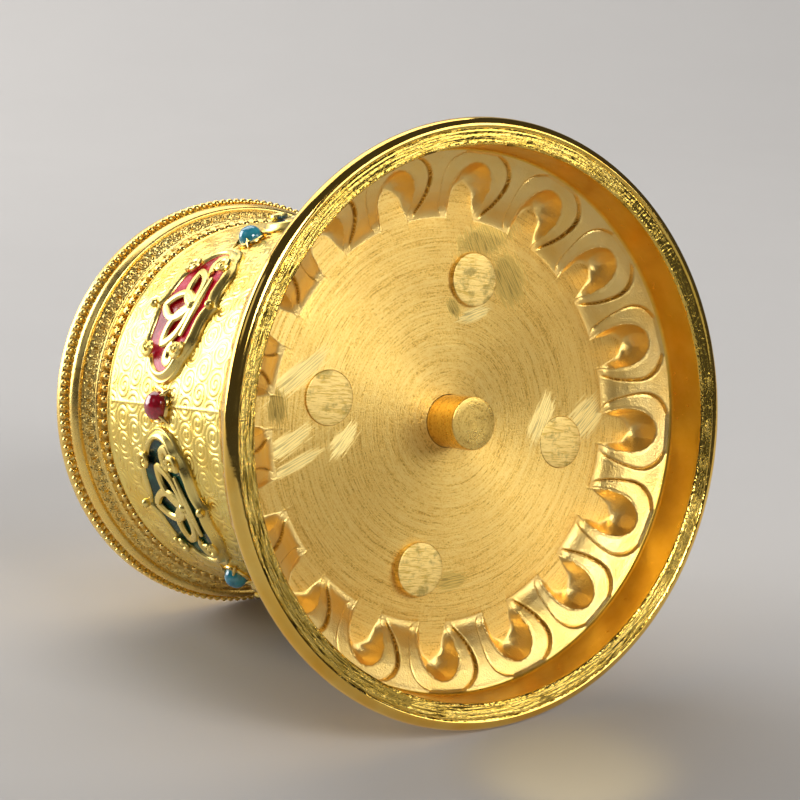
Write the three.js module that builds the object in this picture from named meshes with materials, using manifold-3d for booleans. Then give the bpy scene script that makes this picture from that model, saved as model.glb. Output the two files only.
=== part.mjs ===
// A small table-top prayer wheel in gilded cast metal. A lotus foot carries an upright axle, and a
// drum set with enamel cartouches and stones turns freely on it under a flared roof and a finial.
// Millimetres, +Z up. The origin is the centre of the foot ring's flat face, which the wheel stands on.
import * as THREE from 'three';
import { mergeVertices } from 'three/addons/utils/BufferGeometryUtils.js';
import Module from 'manifold-3d';

const wasm = await Module();
wasm.setup();

// ---- driving dimensions ----
const GAP = 0.3;                 // clearance between neighbouring pieces

const FOOT_R = 30;               // outer radius of the foot ring
const FOOT_BORE_R = 27.2;        // inner edge of the foot ring's flat face
const RING_H = 2.1;              // height of the foot ring's outer band
const BOWL_TOP_Z = 4.4;          // where the ring's plain inner wall meets the petals
const FLOOR_Z = 7.85;            // turned floor on the underside, at the axle
const FLOOR_DISH = 0.5;          // how much deeper the floor is at its edge
const FLOOR_R = 20.5;
const LOTUS_TOP_Z = 11;
const LOTUS_TOP_R = 23.2;
const PETALS = 16;
const RECESS_R = 23.2;           // ring on which the petal recesses lie

const DECK_R = 21.9;             // stepped disc on top of the lotus
const DECK_H = 2;
const RIVET_R = 2.75;
const RIVET_HEAD_R = 3.9;
const RIVET_HEAD_H = 0.8;
// distance from the axle, direction, and height of the peened lower end
const RIVETS = [[14.4, 6.6, 7.95], [14.55, 97.8, 7.6], [14.9, 186.2, 7.95], [15.15, 279.4, 7.45]];

const AXLE_TIP_Z = 3.6;          // the axle's lower end hangs below the turned floor
const AXLE_FOOT_R = 2.67;
const AXLE_COLLAR_R = 4.4;
const SPINDLE_R = 2;
const SPINDLE_TOP_Z = 46.6;
const CLIP_GROOVE_R = 1.5;

const DRUM_BOTTOM_Z = 15.6;
const DRUM_TOP_Z = 43.6;
const DRUM_R = 20.4;
const DRUM_WALL = 0.9;
const DRUM_REST_DEG = -1.6;      // how far the drum is turned at rest
const PLATE_H = 1.2;
const BUSH_R = 3.1;
const BUSH_FLANGE_R = 4.2;
const BUSH_LENGTH = 4.8;
const FLANGE_H = 0.8;

const CARTOUCHES = 6;
const CARTOUCHE_Z = 30.6;
const FRAME_HALF_LENGTH = 8.5;
const FRAME_HALF_HEIGHT = 6.3;
const FRAME_LOBE_R = 3.9;
const FRAME_BORDER = 1.15;
const FRAME_PROUD = 1.2;
const ENAMEL_H = 0.5;
const MOTIF_R = 3.6;
const STONE_R = 1.6;
const STONE_H = 1.6;

const ROOF_R = 23.4;             // edge of the flared roof
const ROOF_TOP_Z = 50.8;
const POCKET_R = 3.6;            // pocket under the roof for the axle's end
const SCREW_R = 1.5;
const DOME_R = 19.4;
const DOME_TOP_Z = 60.4;
const CUP_H = 4.8;
const JEWEL_TOP_Z = 76;

const FINE = 48;                 // facets round the large turned pieces
const COARSE = 20;               // facets round the small ones

// ---- materials ----
function metal(name, color, roughness) {
  return new THREE.MeshStandardMaterial({ name, color, roughness, metalness: 1 });
}

function gloss(name, color, roughness) {
  return new THREE.MeshStandardMaterial({ name, color, roughness, metalness: 0 });
}

const polishedGold = metal('polished_gold', 0xe6b94e, 0.15);
const satinGold = metal('satin_gold', 0xd9b36c, 0.4);
const bearingBrass = metal('bearing_brass', 0xb58a3c, 0.35);
const steel = metal('spring_steel', 0x9a9da0, 0.3);
const paper = gloss('paper', 0xe8dcc0, 0.9);
const tubeBoard = gloss('tube_board', 0xa98c62, 0.95);
const enamels = [
  gloss('enamel_red', 0xbe0a28, 0.12),
  gloss('enamel_blue', 0x12408c, 0.12),
  gloss('enamel_green', 0x143c2d, 0.12),
];
const stones = [gloss('stone_red', 0x8c0a1e, 0.1), gloss('stone_turquoise', 0x0a6e96, 0.2)];

// ---- solids: closed meshes for joining and cutting ----
function toSolid(geometry) {
  const bare = geometry.clone();
  bare.deleteAttribute('normal');
  bare.deleteAttribute('uv');
  const merged = mergeVertices(bare, 1e-4);
  const index = merged.index.array;
  const triangles = [];
  for (let i = 0; i < index.length; i += 3) {
    const [a, b, c] = [index[i], index[i + 1], index[i + 2]];
    if (a !== b && b !== c && c !== a) triangles.push(a, b, c);
  }
  const vertProperties = new Float32Array(merged.getAttribute('position').array);
  const triVerts = new Uint32Array(triangles);
  return new wasm.Manifold(new wasm.Mesh({ numProp: 3, vertProperties, triVerts }));
}

function toGeometry(solid) {
  const mesh = solid.getMesh();
  const geometry = new THREE.BufferGeometry();
  geometry.setAttribute('position', new THREE.BufferAttribute(mesh.vertProperties, 3));
  geometry.setIndex(new THREE.BufferAttribute(mesh.triVerts, 1));
  geometry.computeVertexNormals();
  return geometry;
}

// Turns a profile of [radius, height] points about Z. A profile runs anticlockwise: outwards along
// the bottom, up the outside, back along the top and down the inside.
function turned(profile, facets) {
  const points = profile.map(([radius, height]) => new THREE.Vector2(radius, height));
  return new THREE.LatheGeometry(points, facets).rotateX(Math.PI / 2);
}

function turnedRing(innerR, outerR, bottomZ, topZ, facets) {
  const section = [[innerR, bottomZ], [outerR, bottomZ], [outerR, topZ], [innerR, topZ], [innerR, bottomZ]];
  return turned(section, facets);
}

function upright(radius, bottomZ, topZ, facets = COARSE) {
  const height = topZ - bottomZ;
  const rod = new THREE.CylinderGeometry(radius, radius, height, facets).rotateX(Math.PI / 2);
  return rod.translate(0, 0, bottomZ + height / 2);
}

function aroundAxis(geometry, radius, angleDeg) {
  const angle = THREE.MathUtils.degToRad(angleDeg);
  return geometry.clone().translate(radius * Math.cos(angle), radius * Math.sin(angle), 0);
}

// ---- foot ----
// One petal recess: a tilted ellipsoid that bites into the bowl's slope and opens onto the floor.
function petalRecess(angleDeg) {
  const bite = new THREE.SphereGeometry(1, 8, 6).scale(3.3, 2.3, 1.5);
  bite.rotateY(THREE.MathUtils.degToRad(28)).translate(RECESS_R, 0, 6.4);
  return bite.rotateZ(THREE.MathUtils.degToRad(angleDeg));
}

function lotusBase() {
  const holeR = AXLE_FOOT_R + GAP;
  const profile = [
    [holeR, FLOOR_Z],
    [FLOOR_R * 0.7, FLOOR_Z + FLOOR_DISH * 0.45],
    [FLOOR_R, FLOOR_Z + FLOOR_DISH],
    [22.1, 7.3],
    [23.8, 6.1],
    [26.6, 4.9],
    [27.15, BOWL_TOP_Z],
    [FOOT_BORE_R, 0.2],
    [FOOT_BORE_R + 0.2, 0],
    [FOOT_R - 0.4, 0],
    [FOOT_R, 0.4],
    [FOOT_R, RING_H - 0.3],
    [FOOT_R - 0.5, RING_H + 0.2],
    [28.3, RING_H + 0.5],
    [28, 4.6],
    [26.2, 8],
    [LOTUS_TOP_R + 0.3, LOTUS_TOP_Z - 0.4],
    [LOTUS_TOP_R - 0.3, LOTUS_TOP_Z],
    [holeR, LOTUS_TOP_Z],
    [holeR, FLOOR_Z],
  ];
  let solid = toSolid(turned(profile, FINE));
  for (let i = 0; i < PETALS; i += 1) {
    solid = solid.subtract(toSolid(petalRecess((360 / PETALS) * i)));
  }
  return toGeometry(drillRivetHoles(solid));
}

function drillRivetHoles(solid) {
  let drilled = solid;
  for (const [ringR, angleDeg] of RIVETS) {
    const drill = upright(RIVET_R + GAP, FLOOR_Z - 1, LOTUS_TOP_Z + DECK_H + 1);
    drilled = drilled.subtract(toSolid(aroundAxis(drill, ringR, angleDeg)));
  }
  return drilled;
}

const DECK_Z = LOTUS_TOP_Z + GAP;
const DECK_TOP_Z = DECK_Z + DECK_H;

function baseDeck() {
  const holeR = AXLE_FOOT_R + GAP;
  const profile = [
    [holeR, DECK_Z],
    [DECK_R - 0.3, DECK_Z],
    [DECK_R, DECK_Z + 0.4],
    [DECK_R, DECK_Z + 0.9],
    [DECK_R - 0.9, DECK_Z + 1.3],
    [DECK_R - 0.9, DECK_TOP_Z],
    [holeR, DECK_TOP_Z],
    [holeR, DECK_Z],
  ];
  return toGeometry(drillRivetHoles(toSolid(turned(profile, FINE))));
}

// A riveted post: a shank peened on the underside, with a flat head above the deck.
function deckRivet(lowZ) {
  const headZ = DECK_TOP_Z + GAP;
  const profile = [
    [0, lowZ],
    [RIVET_R, lowZ],
    [RIVET_R, headZ],
    [RIVET_HEAD_R, headZ],
    [RIVET_HEAD_R, headZ + RIVET_HEAD_H],
    [0, headZ + RIVET_HEAD_H],
  ];
  return turned(profile, COARSE);
}

// ---- axle and its running gear ----
const COLLAR_Z = DECK_TOP_Z + GAP;
const COLLAR_TOP_Z = COLLAR_Z + 0.9;
const WASHER_Z = COLLAR_TOP_Z + 0.2;
const WASHER_H = 0.5;
const RUNNING_R = SPINDLE_R + GAP;

const BOTTOM_BUSH_Z = DRUM_BOTTOM_Z - 0.1;
const BOTTOM_PLATE_Z = BOTTOM_BUSH_Z + FLANGE_H + GAP;
const TOP_PLATE_Z = DRUM_TOP_Z - 2.4;
const TOP_FLANGE_Z = TOP_PLATE_Z + PLATE_H + GAP;
const TOP_WASHER_Z = TOP_FLANGE_Z + FLANGE_H + GAP;
const CLIP_Z = TOP_WASHER_Z + WASHER_H + GAP;
const CLIP_H = 0.7;

function axle() {
  const profile = [
    [0, AXLE_TIP_Z],
    [AXLE_FOOT_R - 0.2, AXLE_TIP_Z],
    [AXLE_FOOT_R, AXLE_TIP_Z + 0.2],
    [AXLE_FOOT_R, COLLAR_Z],
    [AXLE_COLLAR_R, COLLAR_Z],
    [AXLE_COLLAR_R, COLLAR_TOP_Z],
    [SPINDLE_R, COLLAR_TOP_Z],
    [SPINDLE_R, CLIP_Z - GAP],
    [CLIP_GROOVE_R, CLIP_Z - GAP],
    [CLIP_GROOVE_R, CLIP_Z + CLIP_H + GAP],
    [SPINDLE_R, CLIP_Z + CLIP_H + GAP],
    [SPINDLE_R, SPINDLE_TOP_Z - 0.4],
    [SPINDLE_R - 0.4, SPINDLE_TOP_Z],
    [0, SPINDLE_TOP_Z],
  ];
  return turned(profile, COARSE);
}

function bottomWasher() {
  return turnedRing(RUNNING_R, AXLE_COLLAR_R, WASHER_Z, WASHER_Z + WASHER_H, COARSE);
}

function topWasher() {
  return turnedRing(RUNNING_R, POCKET_R - GAP, TOP_WASHER_Z, TOP_WASHER_Z + WASHER_H, COARSE);
}

// An open spring clip: a flat ring with a slot, snapped into the groove near the axle's top.
function retainingClip() {
  const ring = toSolid(turnedRing(CLIP_GROOVE_R + GAP, POCKET_R - GAP, CLIP_Z, CLIP_Z + CLIP_H, COARSE));
  const slot = new THREE.BoxGeometry(4, 1.6, 2).translate(3, 0, CLIP_Z + CLIP_H / 2);
  return toGeometry(ring.subtract(toSolid(slot)));
}

// A flanged bush; flip turns its flange to the top.
function bush(flangeZ, flip) {
  const side = flip ? -1 : 1;
  const shoulderZ = flangeZ + (flip ? 0 : FLANGE_H);
  const outerZ = flangeZ + (flip ? FLANGE_H : 0);
  const sleeveZ = outerZ + side * BUSH_LENGTH;
  const profile = [
    [RUNNING_R, outerZ],
    [BUSH_FLANGE_R, outerZ],
    [BUSH_FLANGE_R, shoulderZ],
    [BUSH_R, shoulderZ],
    [BUSH_R, sleeveZ],
    [RUNNING_R, sleeveZ],
    [RUNNING_R, outerZ],
  ];
  if (flip) profile.reverse();
  return turned(profile, COARSE);
}

// ---- drum ----
function drumShell() {
  const innerR = DRUM_R - DRUM_WALL;
  const profile = [
    [innerR, DRUM_BOTTOM_Z],
    [DRUM_R + 0.2, DRUM_BOTTOM_Z],
    [DRUM_R + 0.5, DRUM_BOTTOM_Z + 0.5],
    [DRUM_R + 0.5, DRUM_BOTTOM_Z + 1.1],
    [DRUM_R, DRUM_BOTTOM_Z + 1.5],
    [DRUM_R, DRUM_TOP_Z - 0.5],
    [DRUM_R - 0.4, DRUM_TOP_Z],
    [innerR, DRUM_TOP_Z],
    [innerR, DRUM_BOTTOM_Z],
  ];
  return turned(profile, FINE);
}

function drumPlate(bottomZ) {
  return turnedRing(BUSH_R + GAP, DRUM_R - DRUM_WALL - GAP, bottomZ, bottomZ + PLATE_H, FINE);
}

function mantraScroll() {
  const bottomZ = BOTTOM_PLATE_Z + PLATE_H + GAP;
  return turnedRing(BUSH_R + 2 * GAP, DRUM_R - DRUM_WALL - 3 * GAP, bottomZ, TOP_PLATE_Z - GAP, FINE);
}

function scrollCore() {
  const bottomZ = BOTTOM_BUSH_Z + BUSH_LENGTH + GAP;
  const topZ = TOP_FLANGE_Z + FLANGE_H - BUSH_LENGTH - GAP;
  return turnedRing(RUNNING_R + GAP, BUSH_R + GAP, bottomZ, topZ, COARSE);
}

// The cartouche outline, x along the drum's girth and y up: a round lobe at each end and a pointed
// bracket above and below. inset moves the whole outline inwards.
function cartoucheOutline(path, inset) {
  const lobeR = FRAME_LOBE_R - inset;
  const lobeX = FRAME_HALF_LENGTH - FRAME_LOBE_R;
  const peakY = FRAME_HALF_HEIGHT - inset;
  const shoulderX = lobeX * 0.6;
  const shoulderY = peakY - 0.9;
  const lobeEnd = THREE.MathUtils.degToRad(68);
  path.moveTo(lobeX + lobeR, 0);
  path.absarc(lobeX, 0, lobeR, 0, lobeEnd);
  path.quadraticCurveTo(lobeX, shoulderY, shoulderX, shoulderY);
  path.quadraticCurveTo(shoulderX * 0.3, shoulderY, 0, peakY);
  path.quadraticCurveTo(-shoulderX * 0.3, shoulderY, -shoulderX, shoulderY);
  path.quadraticCurveTo(-lobeX, shoulderY, -lobeX + lobeR * Math.cos(Math.PI - lobeEnd), lobeR * Math.sin(lobeEnd));
  path.absarc(-lobeX, 0, lobeR, Math.PI - lobeEnd, Math.PI + lobeEnd);
  path.quadraticCurveTo(-lobeX, -shoulderY, -shoulderX, -shoulderY);
  path.quadraticCurveTo(-shoulderX * 0.3, -shoulderY, 0, -peakY);
  path.quadraticCurveTo(shoulderX * 0.3, -shoulderY, shoulderX, -shoulderY);
  path.quadraticCurveTo(lobeX, -shoulderY, lobeX + lobeR * Math.cos(lobeEnd), -lobeR * Math.sin(lobeEnd));
  path.absarc(lobeX, 0, lobeR, -lobeEnd, 0);
  return path;
}

// Cuts an outline out of a thin cylindrical shell about Z, facing +X, so the piece hugs the drum.
function hugDrum(shape, innerR, height, curveSegments) {
  const reach = FRAME_HALF_HEIGHT + 1;
  const shell = toSolid(turnedRing(innerR, innerR + height, -reach, reach, FINE));
  const prism = new THREE.ExtrudeGeometry(shape, { depth: DRUM_R, bevelEnabled: false, curveSegments });
  const toRadial = new THREE.Matrix4().makeBasis(
    new THREE.Vector3(0, 1, 0),
    new THREE.Vector3(0, 0, 1),
    new THREE.Vector3(1, 0, 0),
  );
  prism.applyMatrix4(toRadial).translate(DRUM_R / 2, 0, 0);
  return toGeometry(shell.intersect(toSolid(prism)));
}

function cartoucheFrame() {
  const shape = cartoucheOutline(new THREE.Shape(), 0);
  shape.holes.push(cartoucheOutline(new THREE.Path(), FRAME_BORDER));
  return hugDrum(shape, DRUM_R + GAP, FRAME_PROUD, 2);
}

function enamelInlay() {
  const shape = cartoucheOutline(new THREE.Shape(), FRAME_BORDER + GAP);
  return hugDrum(shape, DRUM_R + GAP, ENAMEL_H, 2);
}

// A plain eight-petalled flower that stands on the enamel.
function flowerMotif() {
  const shape = new THREE.Shape();
  const steps = 32;
  for (let i = 0; i < steps; i += 1) {
    const angle = (2 * Math.PI * i) / steps;
    const radius = MOTIF_R * (0.7 + 0.3 * Math.abs(Math.cos(4 * angle)));
    const point = [radius * Math.cos(angle), radius * Math.sin(angle)];
    if (i === 0) shape.moveTo(...point);
    else shape.lineTo(...point);
  }
  return hugDrum(shape, DRUM_R + ENAMEL_H + 2 * GAP, 0.4, 1);
}

// A domed stone, flat at the back, facing +X.
function stone() {
  const profile = [[0, 0], [STONE_R, 0]];
  const steps = 4;
  for (let i = 1; i < steps; i += 1) {
    const angle = (Math.PI / 2) * (i / steps);
    profile.push([STONE_R * Math.cos(angle), STONE_H * Math.sin(angle)]);
  }
  profile.push([0, STONE_H]);
  return turned(profile, 12).rotateY(Math.PI / 2).translate(DRUM_R + GAP, 0, 0);
}

// ---- roof and finial ----
const ROOF_Z = DRUM_TOP_Z + GAP;
const POCKET_TOP_Z = SPINDLE_TOP_Z + 2;
const SCREW_HOLE_R = SCREW_R + GAP;
const DOME_Z = ROOF_TOP_Z + GAP;
const CUP_Z = DOME_TOP_Z + GAP;
const JEWEL_Z = CUP_Z + CUP_H + GAP;
const SCREW_TOP_Z = JEWEL_Z + 3;

function flaredRoof() {
  const profile = [
    [POCKET_R, ROOF_Z],
    [DRUM_R - 0.5, ROOF_Z],
    [DRUM_R - 0.5, ROOF_Z + 0.3],
    [DRUM_R + 0.4, ROOF_Z + 0.6],
    [21.7, 45.9],
    [22.8, 47.2],
    [ROOF_R, 48],
    [ROOF_R, 49.4],
    [ROOF_R - 0.5, 49.9],
    [20, ROOF_TOP_Z],
    [SCREW_HOLE_R, ROOF_TOP_Z],
    [SCREW_HOLE_R, POCKET_TOP_Z],
    [POCKET_R, POCKET_TOP_Z],
    [POCKET_R, ROOF_Z],
  ];
  return turned(profile, FINE);
}

// The screw that draws the roof, dome, cup and jewel together; its head sits in the roof's pocket.
function finialScrew() {
  const headZ = POCKET_TOP_Z - GAP - 1.2;
  const profile = [
    [0, headZ],
    [POCKET_R - GAP, headZ],
    [POCKET_R - GAP, headZ + 1.2],
    [SCREW_R, headZ + 1.2],
    [SCREW_R, SCREW_TOP_Z],
    [0, SCREW_TOP_Z],
  ];
  return turned(profile, COARSE);
}

function roofDome() {
  const profile = [[SCREW_HOLE_R, DOME_Z], [DOME_R - 0.3, DOME_Z], [DOME_R, DOME_Z + 0.4], [DOME_R, DOME_Z + 1]];
  const neckR = 5;
  const springZ = DOME_Z + 1.3;
  const crownZ = DOME_TOP_Z - 0.9;
  const steps = 5;
  for (let i = 0; i <= steps; i += 1) {
    const angle = (Math.PI / 2) * (i / steps);
    profile.push([
      neckR + (DOME_R - 0.6 - neckR) * Math.cos(angle),
      springZ + (crownZ - springZ) * Math.sin(angle),
    ]);
  }
  profile.push([neckR, DOME_TOP_Z], [SCREW_HOLE_R, DOME_TOP_Z], [SCREW_HOLE_R, DOME_Z]);
  return turned(profile, FINE);
}

function finialCup() {
  const topZ = CUP_Z + CUP_H;
  const profile = [
    [SCREW_HOLE_R, CUP_Z],
    [4.6, CUP_Z],
    [4.6, CUP_Z + 0.6],
    [3.2, CUP_Z + 1.4],
    [3, CUP_Z + 2.2],
    [4.6, CUP_Z + 3.3],
    [5.2, topZ],
    [SCREW_HOLE_R, topZ],
    [SCREW_HOLE_R, CUP_Z],
  ];
  return turned(profile, COARSE);
}

function finialJewel() {
  const holeTopZ = SCREW_TOP_Z + GAP;
  const profile = [
    [SCREW_HOLE_R, JEWEL_Z],
    [3.6, JEWEL_Z],
    [4.5, JEWEL_Z + 1.2],
    [4.6, JEWEL_Z + 2.6],
    [3.9, JEWEL_Z + 4.4],
    [2.3, JEWEL_Z + 6.3],
    [1, JEWEL_Z + 8.2],
    [0.45, JEWEL_TOP_Z - 0.3],
    [0, JEWEL_TOP_Z],
  ];
  const blindHole = [[0, holeTopZ], [SCREW_HOLE_R, holeTopZ], [SCREW_HOLE_R, JEWEL_Z]];
  return turned([...blindHole, ...profile.slice(1)], COARSE);
}

// ---- assembly ----
const prayerWheel = new THREE.Group();
const foot = new THREE.Group();
const drum = new THREE.Group();
drum.rotation.z = THREE.MathUtils.degToRad(DRUM_REST_DEG);
prayerWheel.add(foot, drum);

function place(group, name, geometry, material) {
  const mesh = new THREE.Mesh(geometry, material);
  mesh.name = name;
  group.add(mesh);
  return mesh;
}

place(foot, 'lotus_base', lotusBase(), polishedGold);
place(foot, 'base_deck', baseDeck(), polishedGold);
RIVETS.forEach(([ringR, angleDeg, lowZ], i) => {
  const rivet = aroundAxis(deckRivet(lowZ), ringR, angleDeg);
  place(foot, `deck_rivet_${i + 1}`, rivet, satinGold);
});
place(foot, 'axle', axle(), satinGold);
place(foot, 'bottom_washer', bottomWasher(), bearingBrass);
place(foot, 'top_washer', topWasher(), bearingBrass);
place(foot, 'retaining_clip', retainingClip(), steel);

place(drum, 'drum_shell', drumShell(), polishedGold);
place(drum, 'drum_bottom_plate', drumPlate(BOTTOM_PLATE_Z), polishedGold);
place(drum, 'drum_top_plate', drumPlate(TOP_PLATE_Z), polishedGold);
place(drum, 'bottom_bush', bush(BOTTOM_BUSH_Z, false), bearingBrass);
place(drum, 'top_bush', bush(TOP_FLANGE_Z, true), bearingBrass);
place(drum, 'mantra_scroll', mantraScroll(), paper);
place(drum, 'scroll_core', scrollCore(), tubeBoard);

const frameGeometry = cartoucheFrame();
const enamelGeometry = enamelInlay();
const motifGeometry = flowerMotif();
const stoneGeometry = stone();
for (let i = 0; i < CARTOUCHES; i += 1) {
  const pitch = (2 * Math.PI) / CARTOUCHES;
  const setting = new THREE.Group();
  setting.position.z = CARTOUCHE_Z;
  setting.rotation.z = pitch * (i + 0.5);
  place(setting, `cartouche_frame_${i + 1}`, frameGeometry, polishedGold);
  place(setting, `enamel_inlay_${i + 1}`, enamelGeometry, enamels[i % enamels.length]);
  place(setting, `flower_motif_${i + 1}`, motifGeometry, polishedGold);
  const bead = place(drum, `drum_stone_${i + 1}`, stoneGeometry, stones[i % stones.length]);
  bead.position.z = CARTOUCHE_Z;
  bead.rotation.z = pitch * i;
  drum.add(setting);
}

place(drum, 'flared_roof', flaredRoof(), polishedGold);
place(drum, 'finial_screw', finialScrew(), bearingBrass);
place(drum, 'roof_dome', roofDome(), polishedGold);
place(drum, 'finial_cup', finialCup(), polishedGold);
place(drum, 'finial_jewel', finialJewel(), polishedGold);

export default prayerWheel;
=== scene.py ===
"""The visual model of a small gilded prayer wheel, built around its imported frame.

Lengths inside this script are millimetres in the object's frame: +Z runs up the axle from the foot
ring's flat face. They become metres when a mesh is made."""

import math

import bpy
import numpy as np
from mathutils import Matrix, Vector


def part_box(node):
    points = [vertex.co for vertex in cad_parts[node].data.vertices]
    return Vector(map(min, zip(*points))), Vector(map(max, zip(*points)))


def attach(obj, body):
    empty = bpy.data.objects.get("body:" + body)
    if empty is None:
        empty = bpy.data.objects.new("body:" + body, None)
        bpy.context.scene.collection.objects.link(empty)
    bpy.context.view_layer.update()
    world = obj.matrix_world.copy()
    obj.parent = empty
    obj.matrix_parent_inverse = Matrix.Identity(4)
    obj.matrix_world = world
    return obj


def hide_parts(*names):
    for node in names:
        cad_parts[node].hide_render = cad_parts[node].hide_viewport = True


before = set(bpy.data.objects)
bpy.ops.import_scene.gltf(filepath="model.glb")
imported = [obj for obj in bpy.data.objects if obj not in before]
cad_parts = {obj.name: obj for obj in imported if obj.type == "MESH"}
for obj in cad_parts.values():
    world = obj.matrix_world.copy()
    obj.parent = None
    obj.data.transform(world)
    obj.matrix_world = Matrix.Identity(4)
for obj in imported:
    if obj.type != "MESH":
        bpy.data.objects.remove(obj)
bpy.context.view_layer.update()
MM = 0.001


def box_mm(node):
    """A node's lowest and highest corners at rest, in millimetres."""
    low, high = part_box(node)
    return [c / MM for c in low], [c / MM for c in high]


def extent(node):
    """A turned node's lowest z, highest z and outer radius, in millimetres."""
    low, high = box_mm(node)
    return low[2], high[2], high[0]


# ---- sizes that come from the frame ----
_, LOTUS_TOP, FOOT_R = extent("lotus_base")
DRUM_R = extent("drum_shell")[2] - 0.5
DRUM_REST = math.radians(-1.6)  # how far the drum is turned at rest
CARTOUCHE_Z = sum(extent("cartouche_frame_1")[:2]) / 2
SECTORS = 6
SECTOR = 2 * math.pi / SECTORS
RNG = np.random.default_rng(7)


# ---- meshes ----
CORNER_POINTS = 5  # on each rounded corner of an outline
BAR_SIDES = 8


def make_object(name, vertices, faces, materials, face_slots=None, crease_deg=38):
    """A mesh object from millimetre vertices and a list of face arrays (quads or triangles)."""
    mesh = bpy.data.meshes.new(name)
    mesh.vertices.add(len(vertices))
    mesh.vertices.foreach_set("co", (np.asarray(vertices, float) * MM).ravel())
    corners = np.concatenate([f.ravel() for f in faces])
    sizes = np.concatenate([np.full(len(f), f.shape[1]) for f in faces])
    mesh.loops.add(len(corners))
    mesh.loops.foreach_set("vertex_index", corners.astype(np.int32))
    mesh.polygons.add(len(sizes))
    starts = np.concatenate([[0], np.cumsum(sizes)[:-1]])
    mesh.polygons.foreach_set("loop_start", starts.astype(np.int32))
    mesh.polygons.foreach_set("use_smooth", np.ones(len(sizes), bool))
    for material in materials:
        mesh.materials.append(material)
    if face_slots is not None:
        mesh.polygons.foreach_set("material_index", np.asarray(face_slots, np.int32))
    mesh.update(calc_edges=True)
    mesh.validate()
    mesh.set_sharp_from_angle(angle=math.radians(crease_deg))
    piece = bpy.data.objects.new(name, mesh)
    bpy.context.collection.objects.link(piece)
    return piece


def grid_quads(rows, columns, closed):
    """Quads over a stack of rings, numbered ring by ring; closed joins the last ring to the first."""
    i, j = np.meshgrid(np.arange(rows if closed else rows - 1), np.arange(columns), indexing="ij")
    i, j = i.ravel(), j.ravel()
    i2, j2 = (i + 1) % rows, (j + 1) % columns
    return np.stack([i * columns + j, i * columns + j2, i2 * columns + j2, i2 * columns + j], 1)


def end_fans(rows, columns, first):
    """Fans that close a grid's first and last ring, to centres numbered first and first + 1."""
    j = np.arange(columns)
    j2 = (j + 1) % columns
    last_ring = (rows - 1) * columns
    return [np.stack([np.full(columns, first), j2, j], 1),
            np.stack([np.full(columns, first + 1), last_ring + j, last_ring + j2], 1)]


def full_turn(count):
    """Angles of count equal steps round a full turn."""
    return np.linspace(0, 2 * math.pi, count, endpoint=False)


def spun(radius, height, angle):
    """Points at a radius, height and angle about Z."""
    return np.stack([radius * np.cos(angle), radius * np.sin(angle), height + 0 * angle], -1)


def level_ring(outline, height):
    """A flat outline as 3-D points at one height."""
    return np.concatenate([outline, np.full((len(outline), 1), height)], 1)


def swept(profile, columns):
    """The radius, height and angle of every vertex of a profile turned about Z."""
    profile = np.asarray(profile, float)
    radius = np.repeat(profile[:, :1], columns, 1)
    return radius, np.repeat(profile[:, 1:], columns, 1), full_turn(columns)[None, :] + 0 * radius


def revolve(name, profile, columns, material, relief=None, start_angle=0.0):
    """Turns an anticlockwise profile about Z. It closes on itself, or starts and ends on the axis.

    relief(r, z, angle) is how far the surface stands out along its normal."""
    profile = np.asarray(profile, float)
    on_axis = profile[0, 0] < 1e-6
    body = profile[1:-1] if on_axis else profile
    before = np.roll(body, 1, 0)
    after = np.roll(body, -1, 0)
    if on_axis:
        before[0], after[-1] = profile[0], profile[-1]
    run = after - before
    run /= np.linalg.norm(run, axis=1, keepdims=True)
    normal = np.stack([run[:, 1], -run[:, 0]], 1)
    radius, height, angle = swept(body, columns)
    if relief is not None:
        out = relief(radius, height, angle)
        radius, height = radius + out * normal[:, :1], height + out * normal[:, 1:]
    vertices = spun(radius, height, angle + start_angle).reshape(-1, 3)
    faces = [grid_quads(len(body), columns, not on_axis)]
    if on_axis:
        faces += end_fans(len(body), columns, len(vertices))
        vertices = np.concatenate([vertices, [[0, 0, profile[0, 1]], [0, 0, profile[-1, 1]]]])
    return make_object(name, vertices, faces, [material], crease_deg=60 if relief else 38)


def on_rows(start, band):
    """A relief for revolve that is band on the rows from start, and nothing elsewhere."""

    def relief(r, z, angle):
        out = np.zeros(r.shape)
        out[start : start + len(band)] = band
        return out

    return relief


def arc_towards(start, corner, end, steps):
    """Points of a quadratic curve that leaves start towards corner and ends at end."""
    start, corner, end = (np.array(point, float) for point in (start, corner, end))
    shares = np.linspace(0, 1, steps)
    return [tuple((1 - t) ** 2 * start + 2 * t * (1 - t) * corner + t * t * end) for t in shares]


def fillet(corners):
    """An outline from (r, z, fillet size) corners. It is closed unless it starts on the axis."""
    corners = [tuple(c) + (0,) * (3 - len(c)) for c in corners]
    out = []
    count = len(corners)
    closed = corners[0][0] > 1e-6
    for i, (r, z, size) in enumerate(corners):
        if not size or (not closed and i in (0, count - 1)):
            out.append((r, z))
            continue
        here = np.array([r, z])
        back = np.array(corners[i - 1][:2]) - here
        ahead = np.array(corners[(i + 1) % count][:2]) - here
        start = here + back / np.linalg.norm(back) * size
        end = here + ahead / np.linalg.norm(ahead) * size
        out += arc_towards(start, here, end, CORNER_POINTS)
    return out


def divided(outline, step, closed=True):
    """The outline with no span longer than step."""
    points = [np.array(p, float) for p in outline]
    ends = points[1:] + points[:1] if closed else points[1:]
    out = []
    for a, b in zip(points, ends):
        parts = max(1, math.ceil(np.linalg.norm(b - a) / step))
        out += [a + (b - a) * k / parts for k in range(parts)]
    return np.array(out if closed else out + [points[-1]])


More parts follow.
